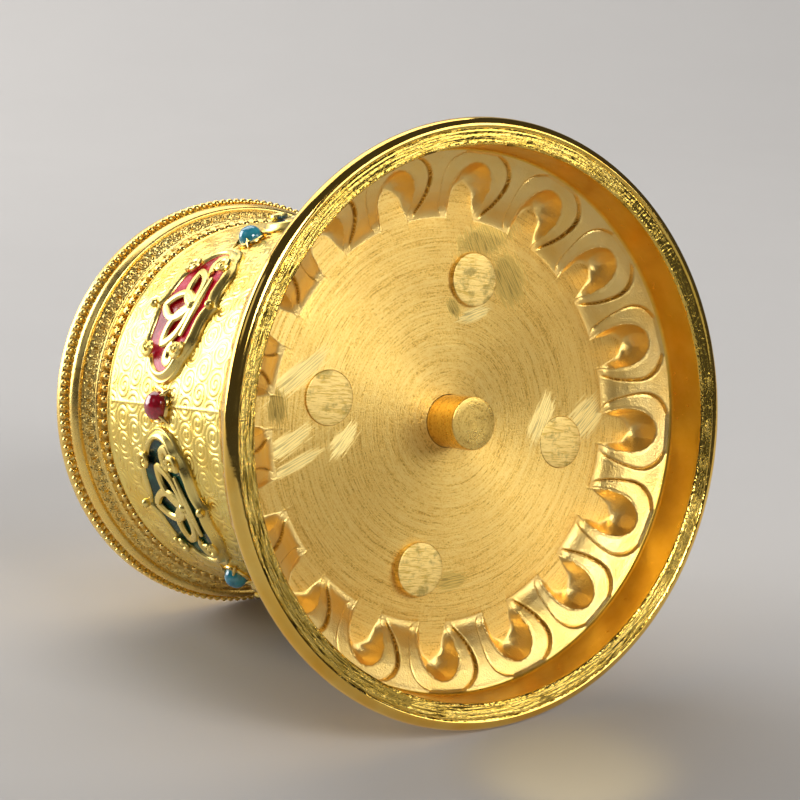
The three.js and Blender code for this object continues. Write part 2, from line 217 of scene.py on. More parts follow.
def tube(path, radius, closed=False, squash=1.0):
    """Vertices and faces of a round bar along a 3-D path; radius is a number or one per point."""
    path = np.asarray(path, float)
    count = len(path)
    radius = np.broadcast_to(np.asarray(radius, float), (count,))
    if closed:
        run = np.roll(path, -1, 0) - np.roll(path, 1, 0)
    else:
        run = np.gradient(path, axis=0)
    run /= np.linalg.norm(run, axis=1, keepdims=True)
    side = np.cross(run, (0.0, 0.0, 1.0))
    side /= np.linalg.norm(side, axis=1, keepdims=True)
    lift = np.cross(side, run)
    turn = full_turn(BAR_SIDES)[None, :, None]
    ring = side[:, None] * np.cos(turn) + lift[:, None] * np.sin(turn) * squash
    vertices = (path[:, None] + ring * radius[:, None, None]).reshape(-1, 3)
    faces = [grid_quads(count, BAR_SIDES, closed)]
    if not closed:
        faces += end_fans(count, BAR_SIDES, len(vertices))
        tips = [path[0] - run[0] * radius[0] * 0.5, path[-1] + run[-1] * radius[-1] * 0.5]
        vertices = np.concatenate([vertices, tips])
    return vertices, faces


def bead(centre, radius, sides, rings):
    """Vertices and faces of a ball."""
    lat = np.linspace(-math.pi / 2, math.pi / 2, rings + 2)[1:-1, None]
    ball = spun(np.cos(lat), np.sin(lat), full_turn(sides)[None, :])
    vertices = np.concatenate([ball.reshape(-1, 3), [[0, 0, -1], [0, 0, 1]]])
    vertices = vertices * radius + np.asarray(centre, float)
    return vertices, [grid_quads(rings, sides, False)] + end_fans(rings, sides, rings * sides)


def closed_stack(rings, low, high):
    """Vertices and faces of stacked rings, capped at heights low and high on their own axis."""
    rows, columns = len(rings), len(rings[0])
    vertices = np.concatenate(rings + [[[0, 0, low], [0, 0, high]]])
    return vertices, [grid_quads(rows, columns, False)] + end_fans(rows, columns, rows * columns)


def joined(parts):
    """One vertex array and one face list from several (vertices, faces) parts."""
    vertices, by_size, offset = [], {}, 0
    for points, faces in parts:
        for group in faces:
            by_size.setdefault(group.shape[1], []).append(group + offset)
        vertices.append(points)
        offset += len(points)
    return np.concatenate(vertices), [np.concatenate(by_size[size]) for size in sorted(by_size)]


def on_drum(points, angle):
    """Bends flat ornament (girth, up, proud) onto the drum's wall, at an angle round the axle."""
    girth, up, proud = points.T
    return spun(DRUM_R + proud, CARTOUCHE_Z + up, angle + girth / DRUM_R)


def outward(vertices, faces):
    """The faces, turned over if they enclose a negative volume."""
    volume = 0.0
    for group in faces:
        a, b, c = (vertices[group[:, k]] for k in (0, 1, 2))
        volume += np.einsum("ij,ij->i", a, np.cross(b, c)).sum()
        if group.shape[1] == 4:
            d = vertices[group[:, 3]]
            volume += np.einsum("ij,ij->i", a, np.cross(c, d)).sum()
    return [group[:, ::-1] for group in faces] if volume < 0 else faces


def settle(piece, body, slot, *nodes):
    """Puts a piece on its body and hides the CAD nodes that it stands for. The slot is not used."""
    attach(piece, body)
    if nodes:
        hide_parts(*nodes)


def turned(name, body, node, *shape, slot="gilt_casting"):
    """A piece that revolve makes from the rest of the values, and that stands for a CAD node."""
    settle(revolve(name, *shape), body, slot, node)


def bead_rings(name, body, material, rings, sides, bands, turn=0.0):
    """Rings of beads round the axle as one piece, from (count, ring radius, height, bead radius)."""
    parts = []
    for count, ring_r, z, size in rings:
        for i in range(count):
            a = 2 * math.pi * i / count + turn
            parts.append(bead((ring_r * math.cos(a), ring_r * math.sin(a), z), size, sides, bands))
    vertices, faces = joined(parts)
    settle(make_object(name, vertices, faces, [material]), body, "gilt_casting")


# ---- materials ----
# the Mix node's first input and its result, for each kind of value
MIX_SOCKETS = {"RGBA": (6, 2), "VECTOR": (4, 1)}


class Finish:
    """A Principled material and a few short ways to add nodes to it."""

    def __init__(self, name, color, roughness, metallic=1.0, **sockets):
        self.material = bpy.data.materials.new(name)
        self.material.use_nodes = True
        self.tree = self.material.node_tree
        self.shader = self.tree.nodes["Principled BSDF"]
        self.fill(self.shader, Base_Color=(*color, 1), Roughness=roughness, Metallic=metallic, **sockets)
        self.coords = self.node("ShaderNodeTexCoord").outputs["Object"]
        self.place = self.node("ShaderNodeSeparateXYZ", Vector=self.coords).outputs
        self.normal = None

    def feed(self, socket, value):
        """Links a node's output to a socket, or sets the socket to a constant."""
        if isinstance(value, bpy.types.NodeSocket):
            self.tree.links.new(value, socket)
        else:
            socket.default_value = value

    def fill(self, node, **inputs):
        for key, value in inputs.items():
            self.feed(node.inputs[key.replace("_", " ")], value)
        return node

    def node(self, kind, **inputs):
        return self.fill(self.tree.nodes.new(kind), **inputs)

    def colored(self, value, *stops):
        """The base colour is a ramp over value, or value itself if there are no stops."""
        self.fill(self.shader, Base_Color=self.ramp(value, stops) if stops else value)

    def rough(self, value, at_low, at_high, low=0.3, high=0.7):
        self.fill(self.shader, Roughness=self.spread(value, low, high, at_low, at_high))

    def math(self, operation, a, b=0.0):
        node = self.node("ShaderNodeMath")
        node.operation = operation
        self.feed(node.inputs[0], a)
        self.feed(node.inputs[1], b)
        return node.outputs[0]

    def total(self, *terms):
        """The sum of (value, weight) pairs."""
        parts = [self.math("MULTIPLY", value, weight) for value, weight in terms]
        while len(parts) > 1:
            parts[:2] = [self.math("ADD", parts[0], parts[1])]
        return parts[0]

    def stretched(self, scale, turn=0.0, source=None):
        vector = source or self.coords
        return self.node("ShaderNodeMapping", Vector=vector, Scale=scale, Rotation=(0, 0, turn)).outputs[0]

    def raw_noise(self, vector, scale, detail, rough=0.5):
        node = self.node("ShaderNodeTexNoise", Vector=vector, Scale=scale, Detail=detail, Roughness=rough)
        return node.outputs["Fac"]

    def noise(self, size_mm, detail=3.0, rough=0.55, vector=None):
        return self.raw_noise(vector or self.coords, 1 / (size_mm * MM), detail, rough)

    def spread(self, value, low, high, to_low, to_high):
        ends = dict(From_Min=low, From_Max=high, To_Min=to_low, To_Max=to_high)
        return self.node("ShaderNodeMapRange", Value=value, **ends).outputs["Result"]

    def ramp(self, value, stops):
        node = self.node("ShaderNodeValToRGB", Fac=value)
        elements = node.color_ramp.elements
        while len(elements) < len(stops):
            elements.new(0.5)
        for element, (place, color) in zip(elements, stops):
            element.position = place
            element.color = (*color, 1)
        return node.outputs["Color"]

    def mix(self, kind, factor, a, b):
        """Mixes two colours ("RGBA", four channels) or two vectors ("VECTOR") by a factor."""
        node = self.node("ShaderNodeMix")
        node.data_type = kind
        first, result = MIX_SOCKETS[kind]
        for index, value in ((0, factor), (first, a), (first + 1, b)):
            self.feed(node.inputs[index], value)
        return node.outputs[result]

    def bump(self, height, depth_mm):
        """Adds one more layer of bump, depth_mm deep."""
        node = self.node("ShaderNodeBump", Height=height, Distance=depth_mm * MM, Strength=1.0)
        if self.normal:
            self.fill(node, Normal=self.normal)
        self.normal = node.outputs["Normal"]
        self.fill(self.shader, Normal=self.normal)

    def polar(self, around_mm, across_mm, at_r=20.0):
        """Noise drawn out round the axle: around_mm long at radius at_r, and across_mm wide."""
        radius = self.radius()
        turn = at_r / around_mm
        x, y = (self.math("MULTIPLY", self.math("DIVIDE", c, radius), turn) for c in self.place[:2])
        out = self.math("MULTIPLY", self.math("ADD", radius, self.place[2]), 1 / (across_mm * MM))
        return self.raw_noise(self.node("ShaderNodeCombineXYZ", X=x, Y=y, Z=out).outputs[0], 1.0, 3.0, 0.6)

    def radius(self):
        """Distance from the axle, in metres."""
        squares = [self.math("POWER", self.place[k], 2.0) for k in (0, 1)]
        return self.math("SQRT", self.math("ADD", *squares))


GOLD = (1.0, 0.67, 0.16)
GOLD_DEEP = (0.95, 0.54, 0.08)
GOLD_PALE = (1.0, 0.71, 0.21)


def gold(name, light=GOLD, deep=GOLD_DEEP, shine=(0.10, 0.24), grain_mm=0.35, grain_depth=0.012,
         waviness=0.02):
    """Gold plate over a casting: soft waviness, fine grain, and rubbed and dull patches."""
    f = Finish(name, light, shine[0])
    f.colored(f.noise(5.0, 4.0, 0.6), (0.30, deep), (0.62, light))
    f.rough(f.noise(1.1, 5.0, 0.65), *shine)
    f.bump(f.noise(2.6, 2.0), waviness)
    f.bump(f.noise(grain_mm, 4.0, 0.6), grain_depth)
    return f.material


def turned_gold(name, light, deep, shine, line_mm, line_depth, aniso=0.8):
    """Gold with fine broken tool lines that run round the axle."""
    f = Finish(name, light, shine[0], Anisotropic=aniso, Anisotropic_Rotation=0.25)
    tangent = f.tree.nodes.new("ShaderNodeTangent")
    tangent.direction_type = "RADIAL"
    tangent.axis = "Z"
    f.grain = tangent.outputs[0]
    f.fill(f.shader, Tangent=f.grain)
    fine, coarse, sand = f.polar(2.5, line_mm), f.polar(26, line_mm * 2.4), f.noise(0.2, 3.0, 0.75)
    f.lines = f.total((fine, 0.34), (coarse, 0.28), (sand, 0.38))
    fleck = (0.64 * deep[0], 0.57 * deep[1], 0.5 * deep[2])
    f.lined = f.ramp(f.lines, [(0.40, fleck), (0.47, deep), (0.55, light)])
    f.colored(f.lined)
    f.rough(f.noise(3.0, 5.0, 0.7), *shine)
    f.bump(f.lines, line_depth)
    return f


def enamel(name, glow, light, deep):
    """Glossy enamel over a stippled ground, bright in some pools and deep in others."""
    f = Finish(name, light, 0.22, 0.0, Coat_Weight=0.08, Coat_Roughness=0.05, IOR=1.3)
    pools, stipple = f.noise(3.4, 2.0), f.noise(0.5, 3.0, 0.6)
    f.colored(f.total((pools, 0.7), (stipple, 0.3)), (0.40, deep), (0.52, light), (0.66, glow))
    f.bump(f.noise(2.2, 2.0), 0.06)
    return f.material


def stone_finish(name, light, deep):
    f = Finish(name, light, 0.07, 0.0, Coat_Weight=0.8, Coat_Roughness=0.04, IOR=1.6)
    f.colored(f.noise(0.9, 4.0, 0.6), (0.38, deep), (0.66, light))
    f.rough(f.noise(0.4), 0.05, 0.14)
    f.bump(f.noise(0.8, 2.0), 0.02)
    return f.material


def plain_metal(name, light, deep, shine):
    f = Finish(name, light, shine[0])
    rubbed = f.noise(0.8, 4.0, 0.6, f.stretched((1, 1, 6)))
    f.colored(rubbed, (0.35, deep), (0.65, light))
    f.rough(f.noise(0.5, 4.0), *shine)
    f.bump(rubbed, 0.01)
    return f.material


def fibrous(name, light, deep, layer_mm):
    """Paper or board: pale fibres, and the edges of its wound layers."""
    f = Finish(name, light, 0.85, 0.0)
    fibres = f.noise(0.35, 5.0, 0.7)
    f.colored(fibres, (0.3, deep), (0.7, light))
    f.rough(fibres, 0.75, 0.95)
    layers = f.math("SINE", f.math("MULTIPLY", f.radius(), 2 * math.pi / (layer_mm * MM)))
    f.bump(layers, 0.05)
    return f.material


CAST_GOLD = gold("cast_gold")
POLISHED_GOLD = gold("polished_gold", GOLD, GOLD_DEEP, (0.05, 0.13), 0.5, 0.006, 0.03)
RELIEF_GOLD = gold("relief_gold", (1.0, 0.73, 0.24), (0.97, 0.62, 0.14), (0.14, 0.26), 0.25, 0.01)
DRUM_GOLD = gold("drum_gold", (1.0, 0.79, 0.23), (1.0, 0.70, 0.14), (0.24, 0.36), 0.22, 0.012)
MOTIF_GOLD = gold("motif_gold", (1.0, 0.80, 0.27), (1.0, 0.72, 0.18), (0.24, 0.36), 0.22, 0.012)
ROOF_GOLD = gold("roof_gold", (1.0, 0.76, 0.25), (1.0, 0.65, 0.15), (0.22, 0.34), 0.25, 0.012)
# dark and half-dark gold that paint shade into the groove round each petal
PAINTED_GROOVE_SHADE = gold("painted_groove_shade", (0.46, 0.27, 0.05), (0.30, 0.16, 0.03), (0.3, 0.45))
PAINTED_GROOVE_HALF_SHADE = gold("painted_groove_half_shade", (0.80, 0.54, 0.14), (0.70, 0.44, 0.10), (0.3, 0.45))
PETAL_GOLD = gold("petal_gold", (1.0, 0.72, 0.26), (1.0, 0.66, 0.18), (0.28, 0.44), 0.2, 0.05)
WALL_GOLD = gold("wall_gold", (0.98, 0.62, 0.11), (0.86, 0.50, 0.06), (0.26, 0.38))
BRASS = plain_metal("bearing_brass", (0.72, 0.52, 0.22), (0.58, 0.40, 0.16), (0.22, 0.36))
STEEL = plain_metal("spring_steel", (0.62, 0.62, 0.64), (0.48, 0.48, 0.50), (0.2, 0.34))
PAPER = fibrous("scroll_paper", (0.88, 0.82, 0.68), (0.76, 0.68, 0.52), 0.2)
BOARD = fibrous("tube_board", (0.62, 0.49, 0.33), (0.5, 0.38, 0.25), 0.6)


# patches on the turned floor that were rubbed straight beside the posts, with painted highlight on the first
# list and painted shade on the second: middle, half length and half width in millimetres, and the direction
# of their scratches in degrees
RUBBED_WITH_PAINTED_HIGHLIGHT = [
    (17.8, 3.7, 4.0, 1.0, 140), (18.4, -2.9, 2.8, 0.9, 145), (17.7, -5.0, 3.4, 0.6, 152),
    (12.3, -2.4, 2.1, 0.9, 128), (-2.4, 10.9, 2.1, 0.7, 160), (-12.0, 0.8, 2.8, 1.2, 112),
    (-18.2, 1.0, 3.0, 1.8, 135),
]
RUBBED_WITH_PAINTED_SHADE = [
    (-6.6, 14.8, 2.8, 2.1, 58), (-3.4, 18.6, 1.8, 4.0, 62), (0.2, 11.4, 1.1, 0.7, 60),
    (-1.9, -16.2, 2.0, 0.9, 172), (20.0, 0.6, 1.8, 1.0, 80),
]
# the patches' colours: a painted highlight tone for the first list, and a painted shade tone for the second
PAINTED_HIGHLIGHT_TONE, PAINTED_SHADE_TONE = (1.0, 0.77, 0.29), (0.78, 0.54, 0.14)


def rubbed_patch(f, x, y, half_long, half_wide, turn):
    """A ragged mask and straight streaks for one rubbed patch."""
    patch = f.node("ShaderNodeMapping", Vector=f.coords, Location=(x * MM, y * MM, 0),
                   Rotation=(0, 0, turn), Scale=(half_long * MM, half_wide * MM, 1))
    patch.vector_type = "TEXTURE"
    reach = f.node("ShaderNodeVectorMath")
    reach.operation = "LENGTH"
    f.feed(reach.inputs[0], patch.outputs[0])
    streaks = f.raw_noise(f.stretched((0.8, half_wide / 0.15, 1), 0, patch.outputs[0]), 1.0, 2.0)
    inside = f.math("SUBTRACT", f.math("MULTIPLY", streaks, 2.0), reach.outputs["Value"])
    return f.spread(inside, -0.1, 0.12, 0.0, 1.0), streaks


def floor_finish():
    """The turned floor, with straight scratches in the patches that were rubbed, and some of those patches
    painted lighter as highlight and others darker as shade.
    """
    f = turned_gold("turned_floor", (1.0, 0.72, 0.23), (0.95, 0.62, 0.15), (0.42, 0.54), 0.11, 0.056)
    grain, lines, color = f.grain, f.lines, f.lined
    for patches, tone in ((RUBBED_WITH_PAINTED_HIGHLIGHT, PAINTED_HIGHLIGHT_TONE), (RUBBED_WITH_PAINTED_SHADE, PAINTED_SHADE_TONE)):
        # each patch's streaks get a lit and a shaded copy of its tone, as painted highlight and painted
        # shade
        shaded = [0.6 * c for c in tone]
        for x, y, half_long, half_wide, turn_deg in patches:
            turn = math.radians(turn_deg)
            mask, streaks = rubbed_patch(f, x, y, half_long, half_wide, turn)
            grain = f.mix("VECTOR", mask, grain, (math.cos(turn), math.sin(turn), 0))
            lines = f.total((streaks, mask), (lines, f.math("SUBTRACT", 1.0, mask)))
            lit = f.spread(streaks, 0.38, 0.52, 0.0, 1.0)
            color = f.mix("RGBA", mask, color, f.mix("RGBA", lit, (*shaded, 1), (*tone, 1)))
    f.fill(f.shader, Tangent=grain)
    f.colored(color)
    f.bump(lines, 0.035)
    return f.material


def hatched_finish():
    """The posts' peened ends: straight scratches, with dull dark smudges."""
    f = Finish("hatched_gold", GOLD_PALE, 0.42, Anisotropic=0.6, Anisotropic_Rotation=0.25)
    f.fill(f.shader, Tangent=f.node("ShaderNodeCombineXYZ", X=-0.87, Y=0.5, Z=0.0).outputs[0])
    scratches = f.noise(1.4, 3.0, 0.7, f.stretched((1, 9, 1), math.radians(-30)))
    smudges = f.noise(1.6, 4.0, 0.65)
    toned = f.ramp(scratches, [(0.38, (0.70, 0.46, 0.10)), (0.52, (0.98, 0.71, 0.24))])
    f.colored(f.mix("RGBA", f.spread(smudges, 0.34, 0.48, 0.65, 0.0), toned, (0.32, 0.25, 0.07, 1)))
    f.rough(smudges, 0.52, 0.38)
    f.bump(scratches, 0.03)
    return f.material


def ring_face_finish():
    """The foot ring's end: polished, with coarse tool streaks and bright nicks in some places."""
    f = Finish("ring_face_gold", GOLD, 0.14)
    streaks, nicks = f.polar(2.6, 0.16, FOOT_R), f.polar(0.6, 0.12, FOOT_R)
    # one side of the ring is worn smooth, so that it mirrors the dark room there
    side = f.math("DIVIDE", f.total((f.place[0], 0.8), (f.place[1], -0.6)), FOOT_R * MM)
    patchy = f.math("ADD", f.noise(7.0, 4.0, 0.6), f.math("MULTIPLY", side, 0.09))
    rough_part = f.spread(patchy, 0.42, 0.60, 0.12, 1.1)
    marked = f.math("ADD", f.math("MULTIPLY", f.math("SUBTRACT", streaks, 0.5), rough_part), 0.5)
    f.colored(marked, (0.37, (0.10, 0.06, 0.01)), (0.47, (0.80, 0.52, 0.08)), (0.56, (1.0, 0.71, 0.17)))
    f.rough(nicks, 0.05, 0.17, 0.35, 0.65)
    f.bump(marked, 0.12)
    f.bump(f.math("MULTIPLY", nicks, rough_part), 0.03)
    return f.material


FLOOR_GOLD = floor_finish()
POST_GOLD = hatched_finish()
RING_FACE = ring_face_finish()
END_GOLD = turned_gold("cut_end_gold", (1.0, 0.70, 0.20), (0.88, 0.55, 0.12), (0.24, 0.36),
                       0.12, 0.02, 0.2).material
ENAMELS = [
    enamel("enamel_red", (0.90, 0.15, 0.24), (0.80, 0.015, 0.055), (0.45, 0.002, 0.01)),
    enamel("enamel_blue", (0.10, 0.28, 0.70), (0.03, 0.14, 0.50), (0.01, 0.04, 0.20)),
    enamel("enamel_green", (0.03, 0.14, 0.09), (0.008, 0.05, 0.035), (0.004, 0.02, 0.016)),
]
STONES = [
    stone_finish("stone_red", (0.62, 0.01, 0.04), (0.34, 0.004, 0.015)),
    stone_finish("stone_turquoise", (0.05, 0.42, 0.60), (0.02, 0.25, 0.40)),
]
ENAMEL_SLOTS = ["enamel_red", "enamel_blue", "enamel_green"]
STONE_SLOTS = ["stone_red", "stone_turquoise"]


# ---- foot ----
PETALS = 16
PITCH = 2 * math.pi / PETALS
# the floor's hole for the axle, the petal zone's two edges, and the wall inside the foot ring
AXLE_HOLE_R, BOWL_IN_R, BOWL_OUT_R, WALL_R = 2.72, 20.4, 26.86, 27.2
SPIKE_TIP_R, LIP_TIP_R = 24.0, 25.9
# heights and half widths of the petal zone against the distance from the axle
FLOOR_CURVE = [(0, 7.85), (6, 7.88), (10, 7.95), (14, 8.07), (18, 8.24), (20.6, 8.37), (22, 8.4),
               (24.4, 8.3)]
BOWL_CURVE = [(20, 8.38), (20.5, 8.4), (20.8, 8.34), (21.1, 8.2), (21.5, 7.88), (22, 7.4), (23, 6.62),
              (24, 6.02), (25, 5.52), (25.9, 5.2), (26.6, 4.95), (27.2, 4.6)]
SPIKE_HALF = [(20.4, 1.7), (21.1, 1.56), (22, 1.44), (22.8, 1.28), (23.3, 1.06), (23.7, 0.72),
              (24.0, 0.3), (24.15, 0)]
LIP_HALF = [(20.4, 1.6), (20.8, 1.66), (21.1, 1.76), (21.5, 1.97), (22, 2.14), (22.5, 2.26), (23, 2.33),
            (23.6, 2.34), (24, 2.28), (24.5, 2.12), (25, 1.82), (25.4, 1.42), (25.7, 0.94), (25.85, 0.5),
            (25.9, 0)]
ARCH_HALF = [(20.4, 2.25), (21.1, 2.65), (21.5, 2.95), (22, 3.26), (23, 3.7), (24, 3.99), (24.6, 4.06),
             (25.2, 4.0), (25.8, 3.72), (26.2, 3.36), (26.5, 2.92), (26.7, 2.45), (26.9, 1.7), (27.2, 0.6)]


def smooth(t):
    t = np.clip(t, 0, 1)
    return t * t * (3 - 2 * t)


def along(curve, r):
    """A curve's value at r, with its corners eased."""
    places, values = zip(*curve)
    return sum(np.interp(r + step, places, values) for step in (-0.16, -0.08, 0, 0.08, 0.16)) / 5


def ridge(distance, width):
    """A rounded ridge of the given full width, centred where distance is 0."""
    return np.exp(-((2.2 * distance / width) ** 2))


def petal_angle(angle):
    """Angle from the middle of the nearest petal."""
    return (angle + PITCH / 2) % PITCH - PITCH / 2


def petal_relief(r, angle):
    """Height of the petal zone: arched petals, each with a drop-shaped hollow that the floor runs into."""
    across = np.abs(r * petal_angle(angle))
    floor, bowl = along(FLOOR_CURVE, r), along(BOWL_CURVE, r)
    spike, lip, arch = along(SPIKE_HALF, r), along(LIP_HALF, r), along(ARCH_HALF, r)
    # beyond the spike's and the lip's ends, distance is measured out along the petal as well
    spike_out = np.hypot(np.clip(across - spike, 0, None), np.clip(r - SPIKE_TIP_R, 0, None))
    # the spike's edges are sharp by the floor and melt into the hollow towards its tip
    ease = 0.05 + 0.3 * smooth((r - 22.6) / 1.1)
    spike_out = np.hypot(spike_out, ease) - ease
    lip_in = np.where(r < LIP_TIP_R, np.clip(lip - across, 0, None), 0)
    lip_in = np.minimum(lip_in, np.clip(LIP_TIP_R - r, 0, None) * 1.3)
    share = lip_in / np.maximum(lip_in + spike_out, 1e-6)
    # the hollow's sides start steep by the floor and round in towards the tip
    wall = 1 - (1 - share) ** (0.85 + 0.85 * smooth((r - 21.6) / 1.7))
    # the petals' faces are sunk a little below the ground between them, except at the floor and the wall
    face = bowl + 0.34 * smooth((r - 20.5) / 1.3)
    step = smooth((across - arch) / 0.16 + 0.5)
    fade = smooth((r - BOWL_IN_R - 0.25) / 0.8)
    lines = 0.15 * ridge(across - arch + 0.02, 0.3) + 0.08 * ridge(across - lip - 0.08, 0.26) * (r < 26)
    height = face + (bowl - face) * step + fade * lines
    return np.where(lip_in > 0, face + (floor - face) * wall - 0.04 * ridge(lip_in, 0.2), height)


def outer_petals(angle, height, low, high, count, shift=0.0):
    """Relief of a row of pointed petals on the outside, from 0 in the gaps to 1 on each crown."""
    t = np.clip((height - low) / (high - low), 0, 1)
    pitch = 2 * math.pi / count
    across = ((angle + shift * pitch + pitch / 2) % pitch - pitch / 2) / (pitch / 2)
    taper = 0.97 * np.sqrt(np.clip(1 - ((t - 0.55) / 0.45) ** 2, 0, 1))
    half = np.clip(np.where(t < 0.55, 0.86 + 0.2 * t, taper), 0.001, 1)
    inside = 1 - np.abs(across) / half
    crown = np.sqrt(np.clip(inside, 0, 1))
    rib = 0.15 * ridge(across, 0.12) * smooth(inside * 3)
    rim = 0.25 * ridge(inside - 0.08, 0.14)
    return crown * 0.75 + rim + rib


def lotus_foot():
    """The foot casting: turned floor, petalled bowl, ring, and lotus petals outside."""
    floor_r = np.arange(AXLE_HOLE_R, BOWL_IN_R, 1.1)
    bowl_r = np.arange(BOWL_IN_R, BOWL_OUT_R, 0.085)
    sweep = np.linspace(0, math.pi / 2, 8)[1:]
    cove = np.stack([BOWL_OUT_R + 0.34 * np.sin(sweep), 4.82 - 0.5 * (1 - np.cos(sweep))], 1)
    face = [(WALL_R, 0.5), (27.24, 0.22, 0.1), (27.45, 0.1, 0.06), (28.7, 0.04), (28.86, 0.14, 0.05),
            (28.98, 0.14)]
    roll = np.linspace(-0.5 * math.pi, 0.42 * math.pi, 22)
    roll_r = 0.95
    skirt_low = 2.9
    skirt_curve = [(2.9, 28.4), (4.6, 28.25), (6.3, 27.6), (8, 26.4), (9.4, 25.1), (10.6, 23.7)]
    skirt_z = np.linspace(skirt_low, LOTUS_TOP - 0.35, 64)
    skirt_r = np.interp(skirt_z, *zip(*skirt_curve))
    eased_r = np.convolve(np.pad(skirt_r, 4, "edge"), np.full(9, 1 / 9), "valid")
    # each band of the profile, with its material
    bands = [
        (np.stack([floor_r, along(FLOOR_CURVE, floor_r)], 1), FLOOR_GOLD),
        (np.stack([bowl_r, along(BOWL_CURVE, bowl_r)], 1), PETAL_GOLD),
        (np.concatenate([cove, [(WALL_R, z) for z in (3.6, 2.8, 2.0, 1.2, 0.7)]]), WALL_GOLD),
        (divided(fillet(face)[1:-1], 0.16, closed=False), RING_FACE),
        (np.stack([29.05 + roll_r * np.cos(roll), 0.96 + roll_r * np.sin(roll)], 1), POLISHED_GOLD),
        (fillet([(29.3, 2.1), (29.15, 2.25, 0.08), (28.5, 2.42, 0.1), (28.42, 2.8)])[1:], CAST_GOLD),
        (np.stack([eased_r, skirt_z], 1), CAST_GOLD),
        ([(23.3, LOTUS_TOP - 0.1), (23, LOTUS_TOP), (12, LOTUS_TOP), (AXLE_HOLE_R, LOTUS_TOP)], CAST_GOLD),
    ]
    materials = [FLOOR_GOLD, PETAL_GOLD, WALL_GOLD, RING_FACE, POLISHED_GOLD, CAST_GOLD, PAINTED_GROOVE_HALF_SHADE,
                 PAINTED_GROOVE_SHADE]
    floor_slot, petal_slot, _, face_slot, _, cast_slot, groove_half_shade_slot, groove_shade_slot = range(len(materials))
    slots = np.concatenate([np.full(len(rows), materials.index(look)) for rows, look in bands])
    profile = np.concatenate([np.asarray(rows, float) for rows, look in bands])

    columns = PETALS * 96
    radius, height, angle = swept(profile, columns)
    bowl = slots == petal_slot
    height[bowl] = petal_relief(radius[bowl], angle[bowl])
    on_face = slots == face_slot
    chatter = RNG.normal(0, 0.012, (on_face.sum(), 1)) + RNG.normal(0, 0.006, (on_face.sum(), columns))
    inner_edge = profile[on_face, 0] < 27.5
    chatter[inner_edge] += RNG.normal(0, 0.02, (inner_edge.sum(), columns))
    height[on_face] += np.clip(chatter, -0.04, 0.04)
    on_skirt = (slots == cast_slot) & (profile[:, 1] > skirt_low - 0.05) & (profile[:, 0] > 23.25)
    outside = outer_petals(angle[on_skirt], height[on_skirt], skirt_low, LOTUS_TOP - 0.3, PETALS)
    radius[on_skirt] += (outside - 0.9) * 0.5 * smooth((height[on_skirt] - 2.8) / 0.6)
    vertices = spun(radius, height, angle).reshape(-1, 3)
    quads = grid_quads(len(profile), columns, True)
    face_slots = np.repeat(slots, columns)
    # the floor's finish runs out along the spikes, and painted shade darkens the groove round each petal:
    # half-dark in a wider band, and dark in a narrower band inside it
    reach = np.hypot(vertices[:, 0], vertices[:, 1])
    across = np.abs(reach * petal_angle(np.arctan2(vertices[:, 1], vertices[:, 0])))
    cut = across < along(SPIKE_HALF, reach) + 0.02
    face_slots[cut[quads].all(1) & (face_slots == petal_slot)] = floor_slot
    from_arch = np.abs(across - along(ARCH_HALF, reach))
    for half_width, slot in ((0.17, groove_half_shade_slot), (0.10, groove_shade_slot)):
        groove = (from_arch < half_width) & (reach > 21) & (reach < 26.75)
        face_slots[groove[quads].all(1) & np.isin(face_slots, (petal_slot, groove_half_shade_slot))] = slot
    piece = make_object("lotus_foot", vertices, [quads], materials, face_slots, 50)
    settle(piece, "foot", "gilt_casting", "lotus_base")


def beaded_deck():
    """The stepped disc on the lotus, with a row of beads on its step."""
    low, high, radius = extent("base_deck")
    hole_r = 2.75
    outline = divided(fillet([
        (hole_r, low), (radius - 0.3, low, 0.1), (radius, low + 0.35, 0.2), (radius, low + 0.7, 0.2),
        (radius - 1.3, low + 0.9, 0.1), (radius - 1.3, high, 0.15), (hole_r, high),
    ]), 1.0)
    turned("deck_disc", "foot", "base_deck", outline, 240, CAST_GOLD)
    bead_rings("deck_beads", "foot", RELIEF_GOLD, [(84, radius - 0.72, low + 1.25, 0.7)], 12, 7)


def deck_rivets():
    """Four posts with heads on the deck, peened under the floor."""
    post_r, head_r = 2.75, 3.9
    for i in range(4):
        node = f"deck_rivet_{i + 1}"
        low, high = box_mm(node)
        x, y = (low[0] + high[0]) / 2, (low[1] + high[1]) / 2
        outline = fillet([
            (0, low[2] - 0.04), (1.6, low[2] - 0.02), (post_r, low[2] + 0.02, 0.16), (post_r, low[2] + 1),
            (post_r, high[2] - 0.8), (head_r, high[2] - 0.8, 0.1), (head_r, high[2], 0.2), (0, high[2]),
        ])
        piece = revolve(f"peened_post_{i + 1}", outline, 96, POST_GOLD)
        piece.data.transform(Matrix.Translation((x * MM, y * MM, 0)))
        settle(piece, "foot", "satin_gold", node)


def axle_rod():
    """The axle, turned in one piece, with a cut and scratched lower end."""
    tip, top, collar_r = extent("axle")
    collar_low = extent("base_deck")[1] + 0.3
    clip_low, clip_high = extent("retaining_clip")[:2]
    foot_r, spindle_r, groove_r = 2.67, 2.0, 1.5
    outline = divided(fillet([
        (0, tip), (foot_r, tip, 0.14), (foot_r, collar_low), (collar_r, collar_low, 0.1),
        (collar_r, collar_low + 0.9, 0.1), (spindle_r, collar_low + 0.9), (spindle_r, clip_low - 0.3),
        (groove_r, clip_low - 0.3), (groove_r, clip_high + 0.3), (spindle_r, clip_high + 0.3),
        (spindle_r, top - 0.4, 0.2), (spindle_r - 0.4, top, 0.1), (0, top),
    ]), 1.2, closed=False)
    turned("axle_rod", "foot", "axle", outline, 128, END_GOLD, slot="satin_gold")


